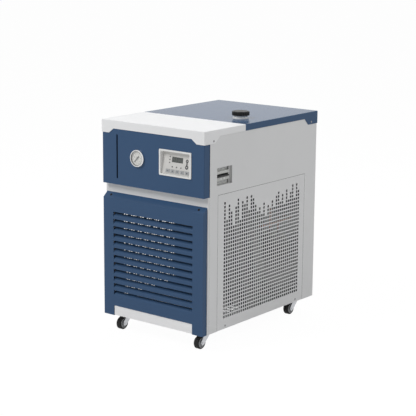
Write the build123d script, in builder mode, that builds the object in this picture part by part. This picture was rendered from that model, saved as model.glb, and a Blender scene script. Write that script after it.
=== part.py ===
from build123d import *
import math
import os

os.makedirs("parts", exist_ok=True)

# Overall sizes of the cabinet, in millimetres
cover_width = 412
cover_depth = 600
castor_height = 56
body_height = 630
port_reach = 21
gauge_proud = 5
sheet = 1.2
top_z = castor_height + body_height
bottom_z = castor_height
front = -(cover_depth + port_reach - gauge_proud) / 2

# Top covers
seam_depth = 202
seam_gap = 0.6
tab_drop = 40.5
front_skirt_drop = 26
side_skirt_drop = 20
tab_flat = 31
tab_slope = 19
side_tab_flat = 51
side_tab_slope = 24
return_drop = 14
panel_top = top_z - return_drop
cover_corner = 2

# Cabinet sides, frame and tray
side_outer = 204.6
side_inner = side_outer - sheet
side_front = 28.6
side_rear = 596.4
frame_front = 20
bulkhead_depth = 28.8
gap_strip_top = 484
gap_strip_bottom = 454
flange = 12
tray_rim = 20

# Front panels
panel_front = 1.5
panel_sheet = 1.5
upper_half = 203.3
lower_half = 201.5
bevel_bottom = 438
lower_bottom = 54.5
notch_half = 160
notch_top = 87.5

# Louvres of the lower front panel
louvre_count = 12
louvre_half = 160.5
louvre_bottom = 114.5
louvre_top = 394.5
louvre_pitch = (louvre_top - louvre_bottom) / louvre_count
louvre_depth = 11

# Control area of the upper front panel
slot_x = -142.5
slot_width = 5.5
slot_bottom = 503.5
slot_top = 643
gauge_x = -57
gauge_z = 577
gauge_diameter = 54
control_x = 93
control_z = 577.5
control_width = 125
control_height = 80
control_window = (114, 70)
face_bottom_depth = 3.5
face_top_depth = 13.5

# Side ventilation panels
vent_front = 68
vent_rear = 533.5
vent_top = 485
vent_gap = 0.5
ledge = 10
hole_columns = 12
hole_pitch_y = 33.93
hole_pitch_z = 34.8
hole_size = 17
hole_first_y = 114.8
hole_first_z = 106.6
hole_rows = [11, 9, 10, 10, 11, 8, 9, 8, 10, 9, 10, 11]

# Breaker recess in the right side
breaker_front = 62.8
breaker_rear = 137
breaker_bottom = 514
breaker_top = 568.5
breaker_recess = 5

# Reservoir, filler neck and cap
neck_x = 117
neck_depth = 295
neck_bore = 17
neck_radius = 21
neck_flange = 25
cap_radius = 27
cap_bottom = 696
cap_top = 709
cap_ribs = 24
shelf_z = 495.2
tank_x = (-160, 182)
tank_y = (232, 440)
tank_z = (shelf_z + sheet, 652)
tank_wall = 1.5

# Castors
castor_x = 160
castor_front = 64
castor_rear = 545
wheel_radius = 20
rim_radius = 15
wheel_width = 18
castor_trail = 24
axle_radius = 3
swivel_radius = 4
run_fit = 0.05


def at_depth(depth):
    """The y of a point that lies this far behind the covers' front face."""
    return front + depth


def slab(x, y, z, mode=Mode.ADD):
    """A straight flange or plate between two values on each axis, y as a depth."""
    middle = ((x[0] + x[1]) / 2, at_depth((y[0] + y[1]) / 2), (z[0] + z[1]) / 2)
    with Locations(middle):
        Box(x[1] - x[0], y[1] - y[0], z[1] - z[0], mode=mode)


def upright(depth):
    """A plane that faces the front, at this depth, with x to the right and z up."""
    return Plane.XZ.offset(-at_depth(depth))


# White front cover: a folded tray with corner tabs and a return at the seam
with BuildPart() as front_top_cover:
    with BuildSketch(Plane.XY.offset(top_z - tab_drop)):
        with Locations((0, at_depth(seam_depth / 2))):
            Rectangle(cover_width, seam_depth)
    extrude(amount=tab_drop)
    uprights = front_top_cover.edges().filter_by(Axis.Z)
    fillet(uprights.group_by(Axis.Y)[0], radius=cover_corner)
    fillet(front_top_cover.faces().sort_by(Axis.Z)[-1].edges().sort_by(Axis.Y)[:-1], radius=cover_corner)
    offset(amount=-sheet, openings=front_top_cover.faces().sort_by(Axis.Z)[0])
    with BuildSketch(upright(0)):
        with BuildLine():
            Polyline(
                (-cover_width / 2 + tab_flat, top_z - tab_drop - 1),
                (-cover_width / 2 + tab_flat, top_z - tab_drop),
                (-cover_width / 2 + tab_flat + tab_slope, top_z - front_skirt_drop),
                (cover_width / 2 - tab_flat - tab_slope, top_z - front_skirt_drop),
                (cover_width / 2 - tab_flat, top_z - tab_drop),
                (cover_width / 2 - tab_flat, top_z - tab_drop - 1),
                close=True,
            )
        make_face()
    extrude(amount=-5 * sheet, both=True, mode=Mode.SUBTRACT)
    with BuildSketch(Plane.YZ):
        with BuildLine():
            Polyline(
                (at_depth(side_tab_flat), top_z - tab_drop - 1),
                (at_depth(side_tab_flat), top_z - tab_drop),
                (at_depth(side_tab_flat + side_tab_slope), top_z - side_skirt_drop),
                (at_depth(seam_depth + 1), top_z - side_skirt_drop),
                (at_depth(seam_depth + 1), top_z - tab_drop - 1),
                close=True,
            )
        make_face()
    extrude(amount=cover_width, both=True, mode=Mode.SUBTRACT)
    slab((-side_outer, side_outer), (seam_depth - 2 * sheet, seam_depth + 1), (panel_top - 10, panel_top),
         mode=Mode.SUBTRACT)
front_top_cover.part.label = "front_top_cover"
export_step(front_top_cover.part, "parts/front_top_cover.step")

# Blue rear cover: the same fold, with the hole for the filler neck
with BuildPart() as rear_top_cover:
    rear_length = cover_depth - seam_depth - seam_gap
    with BuildSketch(Plane.XY.offset(top_z - tab_drop)):
        with Locations((0, at_depth(cover_depth - rear_length / 2))):
            Rectangle(cover_width, rear_length)
    extrude(amount=tab_drop)
    uprights = rear_top_cover.edges().filter_by(Axis.Z)
    fillet(uprights.group_by(Axis.Y)[-1], radius=cover_corner)
    fillet(rear_top_cover.faces().sort_by(Axis.Z)[-1].edges().sort_by(Axis.Y)[1:], radius=cover_corner)
    offset(amount=-sheet, openings=rear_top_cover.faces().sort_by(Axis.Z)[0])
    with BuildSketch(upright(cover_depth)):
        with BuildLine():
            Polyline(
                (-cover_width / 2 + tab_flat, top_z - tab_drop - 1),
                (-cover_width / 2 + tab_flat, top_z - tab_drop),
                (-cover_width / 2 + tab_flat + tab_slope, top_z - front_skirt_drop),
                (cover_width / 2 - tab_flat - tab_slope, top_z - front_skirt_drop),
                (cover_width / 2 - tab_flat, top_z - tab_drop),
                (cover_width / 2 - tab_flat, top_z - tab_drop - 1),
                close=True,
            )
        make_face()
    extrude(amount=-5 * sheet, both=True, mode=Mode.SUBTRACT)
    with BuildSketch(Plane.YZ):
        with BuildLine():
            Polyline(
                (at_depth(cover_depth - side_tab_flat - 4), top_z - tab_drop - 1),
                (at_depth(cover_depth - side_tab_flat - 4), top_z - tab_drop),
                (at_depth(cover_depth - side_tab_flat - side_tab_slope), top_z - side_skirt_drop),
                (at_depth(seam_depth - 1), top_z - side_skirt_drop),
                (at_depth(seam_depth - 1), top_z - tab_drop - 1),
                close=True,
            )
        make_face()
    extrude(amount=cover_width, both=True, mode=Mode.SUBTRACT)
    slab((-side_outer, side_outer), (seam_depth - 1, seam_depth + seam_gap + 2 * sheet),
         (panel_top - 10, panel_top), mode=Mode.SUBTRACT)
    with Locations((neck_x, at_depth(neck_depth), top_z)):
        Hole(radius=neck_radius + 0.5, depth=2 * sheet)
rear_top_cover.part.label = "rear_top_cover"
export_step(rear_top_cover.part, "parts/rear_top_cover.step")

# Upper front panel: a blue pan with the level slot, gauge hole and controller window
with BuildPart() as upper_front_panel:
    pan_height = top_z - 2 - gap_strip_top
    with BuildSketch(upright(panel_front)):
        with Locations((0, gap_strip_top + pan_height / 2)):
            Rectangle(2 * upper_half, pan_height)
    extrude(amount=-(side_front - 0.2 - panel_front))
    corners = upper_front_panel.edges().filter_by(Axis.Z)
    fillet(corners.group_by(Axis.Y)[0], radius=2)
    offset(amount=-panel_sheet, openings=upper_front_panel.faces().sort_by(Axis.Y)[-1])
    with BuildSketch(upright(panel_front)):
        with Locations((slot_x, (slot_bottom + slot_top) / 2)):
            SlotOverall(slot_top - slot_bottom, slot_width, rotation=90)
        with Locations((gauge_x, gauge_z)):
            Circle(gauge_diameter / 2 - 3.5)
        with Locations((control_x, control_z)):
            Rectangle(control_window[0] + 4, control_window[1] + 4)
    extrude(amount=-2 * panel_sheet, both=True, mode=Mode.SUBTRACT)
upper_front_panel.part.label = "upper_front_panel"
export_step(upper_front_panel.part, "parts/upper_front_panel.step")

# Lower front panel: a bevelled pan with twelve curved louvres and a notch at the foot
with BuildPart() as lower_front_panel:
    with BuildSketch(Plane.YZ.offset(-lower_half)):
        with BuildLine():
            Polyline(
                (at_depth(frame_front), lower_bottom),
                (at_depth(panel_front), lower_bottom),
                (at_depth(panel_front), bevel_bottom),
                (at_depth(frame_front), gap_strip_bottom),
                close=True,
            )
        make_face()
    extrude(amount=2 * lower_half)
    offset(amount=-panel_sheet, openings=lower_front_panel.faces().sort_by(Axis.Y)[-1])
    with BuildSketch(upright(panel_front)):
        with Locations((0, (louvre_bottom + louvre_top) / 2)):
            Rectangle(2 * louvre_half, louvre_top - louvre_bottom)
    extrude(amount=-2 * panel_sheet, both=True, mode=Mode.SUBTRACT)
    with BuildSketch(upright(frame_front)):
        with Locations((0, notch_top - 50)):
            Rectangle(2 * notch_half, 100)
    extrude(amount=2 * frame_front, mode=Mode.SUBTRACT)
    for row in range(louvre_count):
        foot = louvre_bottom + row * louvre_pitch
        with BuildSketch(Plane.YZ.offset(-louvre_half - 1)):
            with BuildLine():
                lip = Line((at_depth(panel_front), foot), (at_depth(panel_front), foot + 5))
                shoulder = TangentArc(
                    lip @ 1,
                    (at_depth(panel_front + 3.6), foot + 12.4),
                    tangent=lip % 1,
                )
                blade = TangentArc(
                    shoulder @ 1,
                    (at_depth(panel_front + louvre_depth), foot + louvre_pitch - 5),
                    tangent=shoulder % 1,
                )
                back = Line(blade @ 1, blade @ 1 + Vector(1.1, -0.9))
                inner = TangentArc(
                    back @ 1,
                    (at_depth(panel_front + 3.6 + 1.3), foot + 11.7),
                    tangent=(blade % 1) * -1,
                )
                inner_foot = TangentArc(
                    inner @ 1,
                    (at_depth(panel_front + panel_sheet), foot + 4.6),
                    tangent=inner % 1,
                )
                Line(inner_foot @ 1, (at_depth(panel_front + panel_sheet), foot))
                Line((at_depth(panel_front + panel_sheet), foot), lip @ 0)
            make_face()
        extrude(amount=2 * louvre_half + 2)
lower_front_panel.part.label = "lower_front_panel"
export_step(lower_front_panel.part, "parts/lower_front_panel.step")

# Front frame: the pale strip between the panels, the posts and the bulkhead above
with BuildPart() as front_frame:
    frame_bottom = bottom_z + sheet
    slab((-side_outer, side_outer), (frame_front, side_front - 0.6), (frame_bottom, gap_strip_top))
    slab((-side_inner, side_inner), (frame_front + sheet, side_front), (frame_bottom, gap_strip_top - sheet),
         mode=Mode.SUBTRACT)
    slab((-172, 172), (frame_front - 1, frame_front + 2 * sheet), (98, 436), mode=Mode.SUBTRACT)
    slab((-190, 190), (frame_front + sheet, bulkhead_depth + sheet), (gap_strip_top - sheet, gap_strip_top))
    slab((-190, 190), (bulkhead_depth, bulkhead_depth + sheet), (gap_strip_top - sheet, top_z - 4))
    with BuildSketch(upright(bulkhead_depth)):
        with Locations((slot_x, (slot_bottom + slot_top) / 2)):
            Rectangle(30, slot_top - slot_bottom + 16)
        with Locations((gauge_x, gauge_z)):
            Circle(gauge_diameter / 2)
        with Locations((control_x, control_z)):
            Rectangle(control_window[0] + 8, control_window[1] + 8)
    extrude(amount=-3 * sheet, both=True, mode=Mode.SUBTRACT)
front_frame.part.label = "front_frame"
export_step(front_frame.part, "parts/front_frame.step")

# Base tray: floor of the cabinet, its rim and the kick plate that fills the notch
with BuildPart() as base_tray:
    kick_half = notch_half - 0.8
    kick_front = panel_front + 1.5
    slab((-side_inner, side_inner), (frame_front + sheet + 0.2, side_rear), (bottom_z, bottom_z + sheet))
    slab((-kick_half, kick_half), (kick_front, frame_front + 2 * sheet), (bottom_z, bottom_z + sheet))
    slab((-kick_half, kick_half), (kick_front, kick_front + sheet), (bottom_z, notch_top + 6))
    slab((-side_inner, -side_inner + sheet), (side_front + 4, side_rear), (bottom_z, bottom_z + tray_rim))
    slab((side_inner - sheet, side_inner), (side_front + 4, side_rear), (bottom_z, bottom_z + tray_rim))
    slab((-side_inner, side_inner), (side_rear - sheet, side_rear), (bottom_z, bottom_z + tray_rim))
    with BuildSketch(Plane.XY.offset(bottom_z)):
        with Locations((0, at_depth(300))):
            with GridLocations(60, 26, 4, 4):
                SlotOverall(40, 8)
    extrude(amount=sheet, mode=Mode.SUBTRACT)
base_tray.part.label = "base_tray"
export_step(base_tray.part, "parts/base_tray.step")


def side_panel(side):
    """Outer side sheet: 1 is the right side with the breaker window, -1 the left side."""
    with BuildPart() as panel:
        with BuildSketch(Plane.YZ.offset(side_inner)):
            with Locations((at_depth((side_front + side_rear) / 2), (bottom_z + panel_top) / 2)):
                Rectangle(side_rear - side_front, panel_top - bottom_z)
            with Locations((at_depth((vent_front + vent_rear) / 2), (bottom_z + vent_top) / 2 - 10)):
                Rectangle(vent_rear - vent_front, vent_top - bottom_z + 20, mode=Mode.SUBTRACT)
            if side > 0:
                with Locations((at_depth((breaker_front + breaker_rear) / 2), (breaker_bottom + breaker_top) / 2)):
                    Rectangle(breaker_rear - breaker_front, breaker_top - breaker_bottom, mode=Mode.SUBTRACT)
        extrude(amount=sheet)
        inside = (side_inner - flange, side_inner)
        slab(inside, (side_front, side_front + sheet), (bottom_z + tray_rim, panel_top))
        slab(inside, (side_rear - sheet, side_rear), (bottom_z + tray_rim, panel_top))
        slab(inside, (side_front, side_rear), (panel_top - sheet, panel_top))
        with BuildSketch(Plane.YZ.offset(side_inner)):
            ledge_height = vent_top - bottom_z - tray_rim
            with Locations((at_depth((vent_front + vent_rear) / 2), vent_top + ledge - (ledge_height + ledge) / 2)):
                Rectangle(vent_rear - vent_front + 2 * ledge, ledge_height + ledge)
            with Locations((at_depth((vent_front + vent_rear) / 2), vent_top - ledge - ledge_height / 2)):
                Rectangle(vent_rear - vent_front - 2 * ledge, ledge_height, mode=Mode.SUBTRACT)
        extrude(amount=-sheet)
        if side < 0:
            mirror(about=Plane.YZ, mode=Mode.REPLACE)
    return panel.part


right_side_panel = side_panel(1)
right_side_panel.label = "right_side_panel"
export_step(right_side_panel, "parts/right_side_panel.step")

left_side_panel = side_panel(-1)
left_side_panel.label = "left_side_panel"
export_step(left_side_panel, "parts/left_side_panel.step")


def vent_panel(side):
    """Perforated sheet let into the side: square holes in columns of uneven height."""
    with BuildPart() as panel:
        with BuildSketch(Plane.YZ.offset(side_inner)):
            with Locations((at_depth((vent_front + vent_rear) / 2), (bottom_z + vent_top) / 2)):
                Rectangle(vent_rear - vent_front - 2 * vent_gap, vent_top - bottom_z - 2 * vent_gap)
            for column, rows in enumerate(hole_rows):
                for row in range(rows):
                    y = at_depth(hole_first_y + column * hole_pitch_y)
                    with Locations((y, hole_first_z + row * hole_pitch_z)):
                        Rectangle(hole_size, hole_size, mode=Mode.SUBTRACT)
        extrude(amount=sheet)
        if side < 0:
            mirror(about=Plane.YZ, mode=Mode.REPLACE)
    return panel.part


right_vent_panel = vent_panel(1)
right_vent_panel.label = "right_vent_panel"
export_step(right_vent_panel, "parts/right_vent_panel.step")

left_vent_panel = vent_panel(-1)
left_vent_panel.label = "left_vent_panel"
export_step(left_vent_panel, "parts/left_vent_panel.step")

# Ports on the rear panel, as x and z of their centres
pump_x = -100
outlet_at = (pump_x, 560)
return_at = (60, 590)
drain_at = (pump_x, 110)
port_radius = 8.33
port_bore = 5.5
port_thread = 9.8
port_flange = 13
port_inside = 24
gland_at = (150, 110)

# Rear panel with the holes for the ports, the drain and the cable gland
with BuildPart() as rear_panel:
    slab((-side_inner, side_inner), (side_rear, side_rear + sheet), (bottom_z, top_z - 2))
    with BuildSketch(upright(side_rear)):
        with Locations(outlet_at, return_at):
            Circle(10)
        with Locations(drain_at):
            Circle(9)
        with Locations(gland_at):
            Circle(8)
    extrude(amount=-3 * sheet, both=True, mode=Mode.SUBTRACT)
rear_panel.part.label = "rear_panel"
export_step(rear_panel.part, "parts/rear_panel.step")

# Screw heads of the covers, side vents, bevel and rear panel
with BuildPart() as panel_screws:
    for side in (-1, 1):
        with BuildSketch(Plane.YZ.offset(side * cover_width / 2)):
            with Locations((at_depth(43.5), 653), (at_depth(562.5), 653)):
                Circle(3.2)
        extrude(amount=side * 1.4)
        with BuildSketch(Plane.YZ.offset(side * side_outer)):
            with Locations((at_depth(110), 66), (at_depth(492.5), 66)):
                Circle(3.2)
        extrude(amount=side * 1.4)
    bevel_angle = math.degrees(math.atan2(gap_strip_bottom - bevel_bottom, frame_front - panel_front))
    bevel_mid = (frame_front + panel_front) / 2
    for side in (-1, 1):
        bevel_plane = Plane(
            origin=(side * 177, at_depth(bevel_mid), (gap_strip_bottom + bevel_bottom) / 2),
            x_dir=(1, 0, 0),
            z_dir=(0, -math.sin(math.radians(bevel_angle)), math.cos(math.radians(bevel_angle))),
        )
        with BuildSketch(bevel_plane):
            Circle(4)
        extrude(amount=1.6)
    with BuildSketch(upright(side_rear + sheet)):
        with Locations((-180, 90), (180, 90), (-180, 350), (180, 350), (-180, 620), (180, 620)):
            Circle(3.2)
    extrude(amount=-1.4)
panel_screws.part.label = "panel_screws"
export_step(panel_screws.part, "parts/panel_screws.step")

# Reservoir: a welded steel tank below the filler neck
with BuildPart() as reservoir_tank:
    slab(tank_x, tank_y, tank_z)
    fillet(reservoir_tank.edges().filter_by(Axis.Z), radius=12)
    offset(amount=-tank_wall, kind=Kind.INTERSECTION, mode=Mode.SUBTRACT)
    with Locations((neck_x, at_depth(neck_depth), tank_z[1])):
        Hole(radius=neck_radius + 0.5, depth=2 * tank_wall)
reservoir_tank.part.label = "reservoir_tank"
export_step(reservoir_tank.part, "parts/reservoir_tank.step")

# Shelf: a flanged plate from side to side that carries the tank
with BuildPart() as tank_shelf:
    slab((-side_inner, side_inner), (tank_y[0] - 8, tank_y[1] + 8), (shelf_z, shelf_z + sheet))
    slab((-190, 190), (tank_y[0] - 8, tank_y[0] - 8 + sheet), (shelf_z - 18, shelf_z))
    slab((-190, 190), (tank_y[1] + 8 - sheet, tank_y[1] + 8), (shelf_z - 18, shelf_z))
tank_shelf.part.label = "tank_shelf"
export_step(tank_shelf.part, "parts/tank_shelf.step")

# Filler neck: flanged collar on the cover with a sleeve down into the tank
with BuildPart() as filler_neck:
    with BuildSketch(Plane.XZ.offset(-at_depth(neck_depth))):
        with BuildLine():
            Polyline(
                (neck_x + neck_bore, tank_z[1] - 8),
                (neck_x + neck_radius, tank_z[1] - 8),
                (neck_x + neck_radius, top_z),
                (neck_x + neck_flange, top_z),
                (neck_x + neck_flange, top_z + 3.5),
                (neck_x + neck_radius + 1.5, top_z + 4.5),
                (neck_x + neck_radius + 1.5, cap_top - 6),
                (neck_x + neck_bore, cap_top - 6),
                close=True,
            )
        make_face()
    revolve(axis=Axis((neck_x, at_depth(neck_depth), 0), (0, 0, 1)))
filler_neck.part.label = "filler_neck"
export_step(filler_neck.part, "parts/filler_neck.step")

# Filler cap: a scalloped cup with a shallow dish in its top
with BuildPart() as filler_cap:
    with BuildSketch(Plane.XY.offset(cap_bottom)):
        with Locations((neck_x, at_depth(neck_depth))):
            Circle(cap_radius - 1)
            with PolarLocations(cap_radius - 1.6, cap_ribs):
                Circle(2.6)
    extrude(amount=cap_top - cap_bottom - 1.5)
    with BuildSketch(Plane.XY.offset(cap_top - 1.5)):
        with Locations((neck_x, at_depth(neck_depth))):
            Circle(cap_radius - 2)
    extrude(amount=1.5, taper=30)
    with BuildSketch(Plane.XY.offset(cap_bottom)):
        with Locations((neck_x, at_depth(neck_depth))):
            Circle(neck_radius + 2.5)
    extrude(amount=cap_top - cap_bottom - 3, mode=Mode.SUBTRACT)
filler_cap.part.label = "filler_cap"
export_step(filler_cap.part, "parts/filler_cap.step")

# Cap gasket: the ring that the cap presses on the neck's rim
with BuildPart() as cap_gasket:
    with BuildSketch(Plane.XY.offset(cap_top - 6)):
        with Locations((neck_x, at_depth(neck_depth))):
            Circle(neck_radius + 1.5)
            Circle(neck_bore + 1, mode=Mode.SUBTRACT)
    extrude(amount=3)
cap_gasket.part.label = "cap_gasket"
export_step(cap_gasket.part, "parts/cap_gasket.step")

# Evaporator: a brazed plate heat exchanger piped to the back of the tank
evaporator_x = (-140, 0)
evaporator_y = (470, 530)
evaporator_z = (500, 640)
evaporator_depth = 500
with BuildPart() as evaporator:
    slab(evaporator_x, evaporator_y, evaporator_z)
    fillet(evaporator.edges().filter_by(Axis.Y), radius=14)
    chamfer(evaporator.faces().filter_by(Axis.Y).edges(), length=3)
    with BuildSketch(upright(evaporator_y[0])):
        with Locations((-70, 570)):
            with GridLocations(80, 80, 2, 2):
                Circle(9)
    extrude(amount=evaporator_y[0] - tank_y[1])
evaporator.part.label = "evaporator"
export_step(evaporator.part, "parts/evaporator.step")

# Compressor: a hermetic shell with a domed top, a foot plate and a terminal cover
compressor_x = 92
compressor_depth = 500
compressor_foot = 78
compressor_radius = 70
stub_top = compressor_foot + 212
with BuildPart() as compressor:
    with BuildSketch(Plane.XZ.offset(-at_depth(compressor_depth))):
        with BuildLine():
            base = Line((compressor_x, compressor_foot), (compressor_x + 48, compressor_foot))
            lower = RadiusArc(base @ 1, (compressor_x + compressor_radius, compressor_foot + 24), -26)
            wall = Line(lower @ 1, (compressor_x + compressor_radius, compressor_foot + 150))
            dome = RadiusArc(wall @ 1, (compressor_x + 34, compressor_foot + 196), -52)
            Line(dome @ 1, (compressor_x, compressor_foot + 202))
            Line((compressor_x, compressor_foot + 202), base @ 0)
        make_face()
    revolve(axis=Axis((compressor_x, at_depth(compressor_depth), 0), (0, 0, 1)))
    slab((compressor_x - 84, compressor_x + 84), (compressor_depth - 62, compressor_depth + 62),
         (compressor_foot, compressor_foot + 4))
    slab((compressor_x - 24, compressor_x + 24), (compressor_depth - 86, compressor_depth - 60),
         (compressor_foot + 60, compressor_foot + 120))
    with BuildSketch(Plane.XY.offset(compressor_foot + 180)):
        with Locations((compressor_x, at_depth(compressor_depth))):
            Circle(8)
            with Locations((34, 0)):
                Circle(6)
    extrude(amount=stub_top - compressor_foot - 180)
compressor.part.label = "compressor"
export_step(compressor.part, "parts/compressor.step")

# Rubber mounts under the compressor's foot plate
with BuildPart() as compressor_mounts:
    with BuildSketch(Plane.XY.offset(bottom_z + sheet)):
        with Locations((compressor_x, at_depth(compressor_depth))):
            with GridLocations(144, 100, 2, 2):
                Circle(10)
    extrude(amount=compressor_foot - bottom_z - sheet)
compressor_mounts.part.label = "compressor_mounts"
export_step(compressor_mounts.part, "parts/compressor_mounts.step")

# Condenser: a finned block between two end plates, with a row of return bends
condenser_half = 160
condenser_y = (318, 352)
condenser_z = (bottom_z + sheet, 420)
with BuildPart() as condenser:
    slab((-condenser_half, condenser_half), condenser_y, condenser_z)
    for side in (-1, 1):
        plate = sorted((side * condenser_half, side * (condenser_half + 3)))
        slab(plate, (condenser_y[0] - 8, condenser_y[1] + 8), condenser_z)
    with BuildSketch(upright(condenser_y[0])):
        with Locations((0, (condenser_z[0] + condenser_z[1]) / 2)):
            with GridLocations(40, 1, 8, 1):
                Rectangle(12, condenser_z[1] - condenser_z[0] - 30)
    extrude(amount=-5, mode=Mode.SUBTRACT)
condenser.part.label = "condenser"
export_step(condenser.part, "parts/condenser.step")

# Fan shroud: a plate behind the condenser with a round throat
fan_x = -20
fan_z = 240
fan_radius = 118
shroud_depth = condenser_y[1] + 8
shaft_radius = 4
with BuildPart() as fan_shroud:
    slab((-condenser_half - 3, condenser_half + 3), (shroud_depth, shroud_depth + sheet), condenser_z)
    with BuildSketch(upright(shroud_depth)):
        with Locations((fan_x, fan_z)):
            Circle(fan_radius + 8)
    extrude(amount=-24)
    with BuildSketch(upright(shroud_depth)):
        with Locations((fan_x, fan_z)):
            Circle(fan_radius + 5)
    extrude(amount=-60, both=True, mode=Mode.SUBTRACT)
    with BuildSketch(upright(shroud_depth + 20)):
        with Locations((fan_x, fan_z)):
            Rectangle(10, 2 * fan_radius + 12)
            Rectangle(2 * fan_radius + 12, 10)
            Circle(30)
            Circle(6, mode=Mode.SUBTRACT)
    extrude(amount=-4)
fan_shroud.part.label = "fan_shroud"
export_step(fan_shroud.part, "parts/fan_shroud.step")

# Fan motor: a drum on the shroud's cross arms, with the shaft towards the blades
with BuildPart() as fan_motor:
    with BuildSketch(upright(shroud_depth + 24)):
        with Locations((fan_x, fan_z)):
            Circle(30)
    extrude(amount=-32)
    chamfer(fan_motor.faces().sort_by(Axis.Y)[-1].edges(), length=4)
    with BuildSketch(upright(shroud_depth + 24)):
        with Locations((fan_x, fan_z)):
            Circle(shaft_radius)
    extrude(amount=13)
fan_motor.part.label = "fan_motor"
export_step(fan_motor.part, "parts/fan_motor.step")

# Fan rotor: a hub with five pitched blades
with BuildPart() as fan_rotor:
    with BuildSketch(upright(shroud_depth + 2)):
        with Locations((fan_x, fan_z)):
            Circle(24)
    extrude(amount=-15)
    blade_plane = Plane(origin=(fan_x, at_depth(shroud_depth + 9.5), fan_z), x_dir=(1, 0, 0), z_dir=(0, 0, 1))
    for turn in range(5):
        tilted = blade_plane.rotated((0, 72 * turn, 0))
        with BuildSketch(tilted.offset(20)):
            Rectangle(46, 1.6, rotation=18)
        with BuildSketch(tilted.offset(fan_radius - 4)):
            Rectangle(70, 1.6, rotation=9)
        loft()
    with BuildSketch(upright(shroud_depth + 17)):
        with Locations((fan_x, fan_z)):
            Circle(shaft_radius + run_fit)
    extrude(amount=7, mode=Mode.SUBTRACT)
fan_rotor.part.label = "fan_rotor"
export_step(fan_rotor.part, "parts/fan_rotor.step")

# Circulation pump: motor barrel, volute and foot, with suction and delivery stubs
pump_z = 118
pump_radius = 40
with BuildPart() as circulation_pump:
    with BuildSketch(upright(430)):
        with Locations((pump_x, pump_z)):
            Circle(pump_radius)
    extrude(amount=-110)
    with BuildSketch(upright(540)):
        with Locations((pump_x, pump_z)):
            Circle(pump_radius + 6)
    extrude(amount=-24)
    slab((pump_x - 34, pump_x + 34), (444, 540), (bottom_z + sheet, pump_z - pump_radius + 8))
    with BuildSketch(Plane.XY.offset(pump_z)):
        with Locations((pump_x, at_depth(552))):
            Circle(9)
    extrude(amount=pump_radius + 36)
circulation_pump.part.label = "circulation_pump"
export_step(circulation_pump.part, "parts/circulation_pump.step")


def pipe(radius, bend, *points):
    """A round pipe along straight runs joined by arcs of one radius."""
    with BuildLine() as route:
        FilletPolyline(*points, radius=bend)
    with BuildSketch(Plane(origin=route.line @ 0, z_dir=route.line % 0)) as section:
        Circle(radius)
    sweep(sections=section.sketch, path=route.line)


# Refrigerant lines: the brazed copper pipework, with the filter drier in the liquid line
drier_x = -20
drier_z = bottom_z + sheet + 15
condenser_port_y = at_depth((condenser_y[0] + condenser_y[1]) / 2)
with BuildPart() as refrigerant_lines:
    with BuildSketch(Plane.XY.offset(drier_z)):
        with BuildLine():
            Polyline(
                (drier_x, at_depth(430)),
                (drier_x + 5, at_depth(430)),
                (drier_x + 5, at_depth(438)),
                (drier_x + 15, at_depth(452)),
                (drier_x + 15, at_depth(530)),
                (drier_x + 5, at_depth(544)),
                (drier_x + 5, at_depth(552)),
                (drier_x, at_depth(552)),
                close=True,
            )
        make_face()
    revolve(axis=Axis((drier_x, at_depth(430), drier_z), (0, 1, 0)))
    pipe(4, 12, (drier_x, at_depth(431), drier_z), (drier_x, at_depth(404), drier_z),
         (-186, at_depth(404), drier_z), (-186, at_depth(404), 390), (-186, condenser_port_y, 390),
         (-condenser_half - 3, condenser_port_y, 390))
    pipe(4, 12, (drier_x, at_depth(551), drier_z), (drier_x, at_depth(576), drier_z),
         (drier_x, at_depth(576), 440), (drier_x, at_depth(evaporator_depth), 440),
         (drier_x, at_depth(evaporator_depth), evaporator_z[0]))
    pipe(6, 22, (evaporator_x[1], at_depth(compressor_depth), 530),
         (compressor_x, at_depth(compressor_depth), 530), (compressor_x, at_depth(compressor_depth), stub_top))
    pipe(4, 12, (compressor_x + 34, at_depth(compressor_depth), stub_top),
         (compressor_x + 34, at_depth(compressor_depth), 340), (186, at_depth(compressor_depth), 340),
         (186, condenser_port_y, 340), (condenser_half + 3, condenser_port_y, 340))
refrigerant_lines.part.label = "refrigerant_lines"
export_step(refrigerant_lines.part, "parts/refrigerant_lines.step")

# Water hoses: tank to pump, pump to outlet, and the return to the tank
port_inner = side_rear + sheet - port_inside
with BuildPart() as water_hoses:
    pipe(8, 22, (pump_x, at_depth(400), shelf_z), (pump_x, at_depth(400), pump_z), (pump_x, at_depth(430), pump_z))
    pipe(8, 14, (pump_x, at_depth(552), pump_z + pump_radius + 36), (pump_x, at_depth(552), outlet_at[1]),
         (pump_x, at_depth(port_inner), outlet_at[1]))
    with BuildSketch(upright(tank_y[1])):
        with Locations(return_at):
            Circle(8)
    extrude(amount=-(port_inner - tank_y[1]))
water_hoses.part.label = "water_hoses"
export_step(water_hoses.part, "parts/water_hoses.step")

# Level tube: a clear sight tube behind the slot, in two elbows that lead to the tank
level_tube_depth = 12
with BuildPart() as level_tube:
    with BuildSketch(Plane.XY.offset(slot_bottom - 8)):
        with Locations((slot_x, at_depth(level_tube_depth))):
            Circle(6)
    extrude(amount=slot_top - slot_bottom + 14)
    for height in (slot_bottom - 1, slot_top):
        with BuildSketch(upright(level_tube_depth)):
            with Locations((slot_x, height)):
                Circle(5)
        extrude(amount=-(tank_y[0] - level_tube_depth))
level_tube.part.label = "level_tube"
export_step(level_tube.part, "parts/level_tube.step")

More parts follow.
